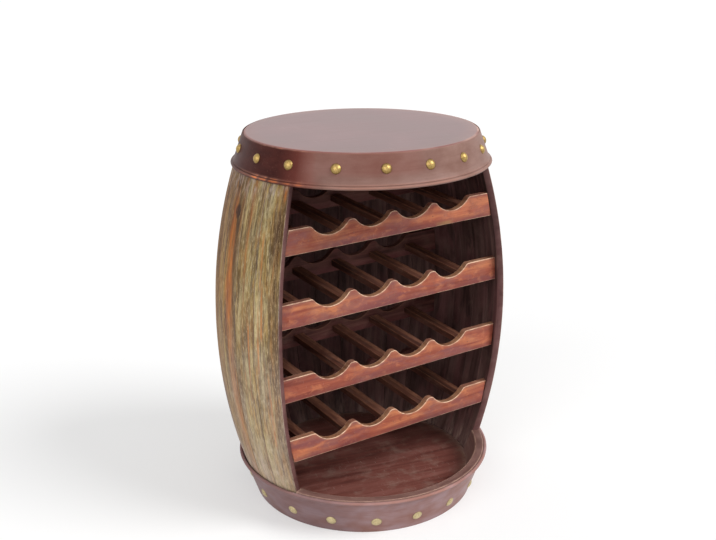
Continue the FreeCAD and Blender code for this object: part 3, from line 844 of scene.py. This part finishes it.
def base_hoop_marks(angle, height, wear):
    """Painted shade: dark at the back, turned from the light, and a dull mauve at the left."""
    # Painted shade where the hoop turns from the light, and in dull mauve at the left.
    shade_and_patina = 0.7 * smooth_step(0.86, 0.98, away_from_light(angle))
    shade = 1 - smooth_step(22, 60, degrees_apart(angle, -82))
    return min(wear * hoop_rubbed(angle), 1.0), shade_and_patina, 0.46 * shade


def top_hoop_marks(angle, height, wear):
    """Painted shade, dark at the left and the back, and copper flecks along the roll at the left, brightened
    as a painted highlight.
    """
    # Painted shade where the hoop turns from the light, with a little more at the front left.
    shade = 1 - smooth_step(22, 42, degrees_apart(angle, -34))
    left = 0.32 * shade * (0.4 + 0.6 * smooth_step(0.645, 0.66, height))
    shade_and_patina = max(smooth_step(0.4, 0.74, away_from_light(angle)), left)
    flecks = 0.7 + 0.6 * ripple(22, math.sin(angle) * 30, math.cos(angle) * 30)
    # Copper worn through at the left of the roll, which the bead's weighting brightens into a painted
    # highlight on its upper side.
    copper = 2.3 * flecks * (1 - smooth_step(9, 22, degrees_apart(angle, -72)))
    return min(wear * max(hoop_rubbed(angle), copper), 1.0), shade_and_patina, 0.0


def make_hoop(name, node, middle, plain, rolled, roll, up):
    """Sheet hoop with a bead along its rolled edge and a soft ridge below the bead."""
    sign = -1 if up else 1
    inner = SEAT_CLEARANCE
    outer = SEAT_CLEARANCE + HOOP_SHEET
    outline = []

    def cone(height, out, wear=0.0):
        outline.append((hoop_radius(middle, height, out), height, wear))

    edge = -0.5 * MM * sign
    cone(plain, inner + 0.3 * MM, 0.2)
    cone(plain, outer - 0.4 * MM, 0.4)
    cone(plain + edge, outer, 0.25)
    cone(plain + 4 * edge, outer, 0.0)
    foot = rolled + sign * (2 * roll + 5 * MM)
    steps = 8
    for n in range(1, steps + 1):
        cone(plain + 4 * edge + (foot - plain - 4 * edge) * n / steps, outer)
    ridge = ((3.6, 0.2, 0.1), (2.6, 0.75, 0.35), (1.7, 0.95, 0.5), (0.9, 0.7, 0.35), (0.25, 0.1, 0.0))
    for along, out, wear in ridge:
        cone(rolled + sign * (2 * roll + along * MM), outer + out * MM, wear)
    bead_height = rolled + sign * roll
    bead_radius = hoop_radius(middle, bead_height, inner) + roll
    outline += bead_points(bead_radius, bead_height, roll, 62 * sign, -150 * sign, 14, 0.7)
    cone(rolled + sign * 0.6 * roll, inner, 0.1)
    cone(plain + (rolled - plain) * 0.5, inner)
    shape = Shape()

    def wobble(angle, height):
        return 0.18 * MM * ripple(4 if up else 8, math.sin(angle) * 3, math.cos(angle) * 3, height * 12)

    marks_of = base_hoop_marks if up else top_hoop_marks
    rows = lathe(shape, outline, HOOP_SEGMENTS, marks_of, wobble=wobble, flipped=not up)
    shape.skin(rows, around=True, along=True)
    make_piece(name, shape, (HOOP_PAINT,), "hoop_paint", node, tone=0.85 if up else 0.0, sharp=60)


def make_disc(name, node, outline, finish, slot):
    """Round board with its grain running across it."""
    shape = Shape()
    rings = []
    for radius, height, wear in outline:
        ring = []
        for step in range(DISC_SEGMENTS):
            angle = 2 * math.pi * step / DISC_SEGMENTS
            place = round_about(radius, angle, height)
            grain = (place.y * 0.97 + 0.2 * place.x, place.x * 0.97 - 0.2 * place.y, height)
            # Painted highlight and shade: the rim's wear is strongest on the side towards the light, and the
            # rest of it goes to the stain on the far side.
            lit = math.sin(angle - 0.3) + ripple(31, place.x * 30, place.y * 30)
            rubbed_and_lit = 0.35 + 0.65 * smooth_step(-0.5, 0.6, lit)
            ring.append(shape.point(place, grain, wear * rubbed_and_lit, wear * (1.2 - rubbed_and_lit)))
        rings.append(ring)
    shape.skin(rings, around=True)
    for end in (0, -1):
        ring, height = rings[end], outline[end][1]
        centre = shape.point((0, AXIS_Y, height), (AXIS_Y, 0, height))
        for n in range(DISC_SEGMENTS):
            pair = (ring[n], ring[(n + 1) % DISC_SEGMENTS])
            shape.face((*pair, centre) if end else (*reversed(pair), centre))
    make_piece(name, shape, (finish,), slot, node, sharp=50)


def make_top_board():
    """Round top over the stave ends, with a soft rim worn pale and given a painted highlight on one side."""
    def edge(height, inset=0.0):
        return hoop_radius(TOP_MIDDLE, height, 0) - inset

    high = RACK_HEIGHT
    outline = [
        (edge(STAVE_TOP, 30 * MM), STAVE_TOP, 0.0),
        (edge(STAVE_TOP, 0.5 * MM), STAVE_TOP, 0.0),
        (edge(STAVE_TOP), STAVE_TOP + 0.5 * MM, 0.0),
        (edge(high - 3 * MM), high - 3 * MM, 0.0),
        (edge(high - 2 * MM), high - 2 * MM, 0.6),
        (edge(high, 0.5 * MM), high - 0.9 * MM, 1.0),
        (edge(high, 1.2 * MM), high - 0.3 * MM, 1.0),
        (edge(high, 2.2 * MM), high, 0.7),
        (edge(high, 4.5 * MM), high, 0.15),
        (edge(high, 30 * MM), high, 0.0),
    ]
    make_disc("round_top", "top_board", outline, TOP_PAINT, "top_wood")


def make_inner_disc(name, node, low, high):
    """Round board that seats inside the staves, worn pale near its rim, and paler on the side towards the
    light as a painted sheen.
    """
    bottom, top = inside_radius(low), inside_radius(high)
    outline = [
        (bottom - 20 * MM, low, 0.0),
        (bottom - 0.5 * MM, low, 0.0),
        (bottom, low + 0.5 * MM, 0.2),
        (top, high - 0.5 * MM, 0.6),
        (top - 0.5 * MM, high, 0.7),
        (top - 4 * MM, high, 0.55),
        (top - 12 * MM, high, 0.12),
        (top - 26 * MM, high, 0.0),
    ]
    make_disc(name, node, outline, PANEL_STAIN, "panel_wood")


def make_curb(name, node, middle, closed, step, opened):
    """Sill or header: a curved piece that closes the ring of staves at the front."""
    sign = 1 if opened > closed else -1
    lip = -CURB_THICKNESS
    rebate = CURB_REBATE - CURB_THICKNESS
    outline = []

    def cone(height, out, wear=0.0, extra=0.0):
        outline.append((hoop_radius(middle, height, out) + extra, height, wear))

    soft = 2.2 * MM
    arris = ((soft, 0, 0.1), (0.6 * soft, 0.15 * soft, 0.4), (0.15 * soft, 0.5 * soft, 0.5), (0, soft, 0.3),
             (0, soft + 1 * MM, 0.0))
    for share in (0, 0.25, 0.5, 0.75):
        cone(closed + (opened - closed) * share, 0)
    for depth, inset, wear in arris:
        cone(opened - sign * depth, 0, wear, -inset)
    for depth, inset, wear in reversed(arris):
        cone(opened - sign * depth, lip, wear, inset)
    cone(opened - sign * (soft + 1 * MM), lip)
    cone(step, lip)
    cone(step, rebate)
    cone(closed, rebate)
    shape = Shape()
    sweep = OPENING_ANGLE - STAVE_GAP / BELLY_RADIUS

    def marks_of(angle, height, wear):
        chip = 1 - smooth_step(0.01, 0.035, angle + sweep / 2)
        return (max(wear, chip * 1.2 * max(0.0, 0.5 + ripple(77, angle * 90, height * 400))),)

    shape.tube(lathe(shape, outline, CURB_SEGMENTS, marks_of, -sweep / 2, sweep, flipped=sign < 0))
    make_piece(name, shape, (SILL_STAIN,), "panel_wood", node, sharp=50)


# Nails

# Turns of the nails that show in the photograph, in degrees.
TOP_NAIL_ANGLES = (-109.5, -86.5, -67, -44.5, -23.5, -3, 17, 37)
BASE_NAIL_ANGLES = (-91.5, -70, -49.5, -28, -8, 12.5, 32)
NAIL_COUNT = 17
NAIL_SEGMENTS = 28
NAIL_STEPS = 8
TOP_NAIL_HEIGHT = HOOP_HIGH.z - 23 * MM
BASE_NAIL_HEIGHT = 26 * MM
# Radius and rise of a nail's head.
TOP_NAIL_SIZE = (8.9 * MM, 5.4 * MM)
BASE_NAIL_SIZE = (9.6 * MM, 3.3 * MM)
BRAD_SEGMENTS = 12
BRAD_RADIUS = 1.2 * MM
BRAD_HEIGHT = 8 * MM


def nail_angles(seen):
    """Turns of all the nails of a hoop: those that show at their places and the others evenly between."""
    rest = NAIL_COUNT - len(seen)
    step = (360 - (seen[-1] - seen[0])) / (rest + 1)
    return list(seen) + [seen[-1] + step * (n + 1) for n in range(rest)]


def make_nails(name, node, middle, height, head, angles, finish, seed):
    """Domed heads of the nails of a hoop, each square to the hoop and a little uneven."""
    chance = random.Random(seed)
    radius, rise = head
    shape = Shape()
    base = hoop_radius(middle, height, SEAT_CLEARANCE + HOOP_SHEET)
    slope = hoop_radius(middle, height + 1, 0) - hoop_radius(middle, height, 0)
    level = 1 / math.sqrt(1 + slope * slope)
    ball = (radius ** 2 + rise ** 2) / (2 * rise)
    spread = math.asin(min(1.0, radius / ball))
    # The wear grows towards the brim, where the brass is darkened.
    profile = [(1.0, -0.25 * rise, 1.0), (1.0, 0.0, 0.8), (0.985, 0.1 * rise, 0.5)]
    for n in range(1, NAIL_STEPS):
        left = 1 - n / NAIL_STEPS
        turn = spread * left
        profile.append((math.sin(turn) * ball / radius, (math.cos(turn) - 1) * ball + rise, 0.25 * left))
    for degrees in angles:
        angle = math.radians(degrees + chance.uniform(-0.25, 0.25))
        out = Vector((math.sin(angle) * level, -math.cos(angle) * level, -slope * level))
        sideways = Vector((math.cos(angle), math.sin(angle), 0))
        upwards = out.cross(sideways) * -1
        tilt = sideways * chance.uniform(-0.02, 0.02) + upwards * chance.uniform(-0.02, 0.02)
        facing = (out + tilt).normalized()
        centre = round_about(base, angle, height + chance.uniform(-0.7, 0.7) * MM)
        size = chance.uniform(0.95, 1.0)
        rings = []
        for share, lift, wear in profile:
            ring = []
            for step in range(NAIL_SEGMENTS):
                turn = 2 * math.pi * step / NAIL_SEGMENTS
                offset = (sideways * math.cos(turn) + upwards * math.sin(turn)) * radius * share * size
                place = centre + offset + facing * lift
                ring.append(shape.point(place, place, wear))
            rings.append(ring)
        shape.skin(rings, around=True)
        crown = shape.point(centre + facing * rise, centre, 0.0)
        for n in range(NAIL_SEGMENTS):
            shape.face((rings[-1][n], rings[-1][(n + 1) % NAIL_SEGMENTS], crown))
        shape.face(reversed(rings[0]))
    make_piece(name, shape, (finish,), "nail_brass", node, sharp=60)


def make_brads():
    """Small brads through the front rails into the slat ends."""
    chance = random.Random(11)
    for tier in TIERS:
        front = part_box(f"{tier}_front_rail")[0].y
        slat_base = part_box(f"{tier}_slat_1")[0].z
        shape = Shape()
        for n in range(SLAT_COUNT):
            x = (n - (SLAT_COUNT - 1) / 2) * LANE_PITCH + chance.uniform(-3, 3) * MM
            z = slat_base + BRAD_HEIGHT + chance.uniform(-1.5, 1.5) * MM
            rings = []
            for share, lift in ((1.0, -0.2 * MM), (1.0, 0.12 * MM), (0.7, 0.3 * MM)):
                radius = BRAD_RADIUS * share
                ring = []
                for step in range(BRAD_SEGMENTS):
                    turn = -2 * math.pi * step / BRAD_SEGMENTS
                    place = (x + radius * math.cos(turn), front - lift, z + radius * math.sin(turn))
                    ring.append(shape.point(place, place))
                rings.append(ring)
            shape.tube(rings)
        make_piece(f"{tier}_brads", shape, (STEEL,), "nail_brass")


for stave in range(1, STAVE_COUNT + 1):
    make_stave(stave)
for tier_name in TIERS:
    make_rail(tier_name, "front")
    make_rail(tier_name, "back")
    for slat in range(1, SLAT_COUNT + 1):
        make_slat(tier_name, slat)
make_brads()
make_top_board()
make_inner_disc("floor_disc", "floor_board", FLOOR_LOW, FLOOR_HIGH)
make_inner_disc("head_board", "head_disc", HEAD_LOW, STAVE_TOP)
make_curb("curved_sill", "front_sill", BASE_MIDDLE, 0.0, FLOOR_HIGH, SILL_HIGH)
make_curb("curved_header", "front_header", TOP_MIDDLE, STAVE_TOP, HEAD_LOW, HEADER_LOW)
make_hoop("top_hoop_band", "top_hoop", TOP_MIDDLE, HOOP_HIGH.z, HOOP_LOW.z, TOP_ROLL, up=False)
make_hoop("base_hoop_band", "base_hoop", BASE_MIDDLE, 0.0, BASE_HIGH.z, BASE_ROLL, up=True)
make_nails("top_nail_heads", "top_hoop_nails", TOP_MIDDLE, TOP_NAIL_HEIGHT, TOP_NAIL_SIZE,
           nail_angles(TOP_NAIL_ANGLES), TOP_BRASS, 3)
make_nails("base_nail_heads", "base_hoop_nails", BASE_MIDDLE, BASE_NAIL_HEIGHT, BASE_NAIL_SIZE,
           nail_angles(BASE_NAIL_ANGLES), BASE_BRASS, 5)


# Stage, light and camera

FLOOR_REACH = 60


def make_floor():
    """Pale floor that shows white and keeps the rack's shadow."""
    mesh = bpy.data.meshes.new("floor")
    corners = [(x * FLOOR_REACH, y * FLOOR_REACH, 0) for x, y in ((-1, -1), (1, -1), (1, 1), (-1, 1))]
    mesh.from_pydata(corners, [], [(0, 1, 2, 3)])
    floor = bpy.data.objects.new("floor", mesh)
    bpy.context.scene.collection.objects.link(floor)
    white = Finish("floor_white", Roughness=0.9, Specular_IOR_Level=0.0, Emission_Color=(1, 1, 1, 1))
    seen = white.seen_directly()
    white.put_all(white.shader, {"Base Color": white.ramp(seen, (0.0, 0.55), (1.0, 0.58)),
                                 "Emission Strength": white.maths("MULTIPLY", seen, 0.4)})
    mesh.materials.append(white.material)


def make_world():
    """White to the camera and in reflections, and a softer light on the rack."""
    world = bpy.data.worlds.new("studio")
    bpy.context.scene.world = world
    world.use_nodes = True
    world.node_tree.nodes.clear()
    nodes = Nodes(world.node_tree)
    mix = nodes.node("MixShader", Fac=nodes.seen_directly())
    for socket, strength in ((mix.inputs[1], 0.5), (mix.inputs[2], 1.0)):
        light = nodes.node("Background", Color=(1, 1, 1, 1), Strength=strength)
        nodes.put(socket, light.outputs[0])
    nodes.node("OutputWorld", Surface=mix.outputs[0])


def make_sun(name, place, spread, strength):
    """Soft light from the direction of a place."""
    data = bpy.data.lights.new(name, "SUN")
    data.angle = math.radians(spread)
    data.energy = strength
    lamp = bpy.data.objects.new(name, data)
    lamp.rotation_euler = (-Vector(place)).to_track_quat("-Z", "Y").to_euler()
    bpy.context.scene.collection.objects.link(lamp)


def make_camera():
    """Camera fitted to the photograph's view of the rails, the hoops and the opening."""
    data = bpy.data.cameras.new("camera")
    data.lens = 52.627
    data.sensor_width = 36
    camera = bpy.data.objects.new("camera", data)
    turn, tip, roll = (math.radians(angle) for angle in (-33.789, 71.4413, -0.4323))
    rotation = Matrix.Rotation(turn, 4, "Z") @ Matrix.Rotation(tip, 4, "X") @ Matrix.Rotation(roll, 4, "Z")
    camera.matrix_world = Matrix.Translation((-1.02801, -1.52299 + AXIS_Y, 1.04176)) @ rotation
    bpy.context.scene.collection.objects.link(camera)
    bpy.context.scene.camera = camera


make_floor()
make_world()
make_sun("key", (0.8, -1.0, 1.15), 30, 2.1)
make_sun("fill", (-1.0, -0.5, 0.55), 50, 1.15)
make_camera()
bpy.context.scene.view_settings.view_transform = "Standard"
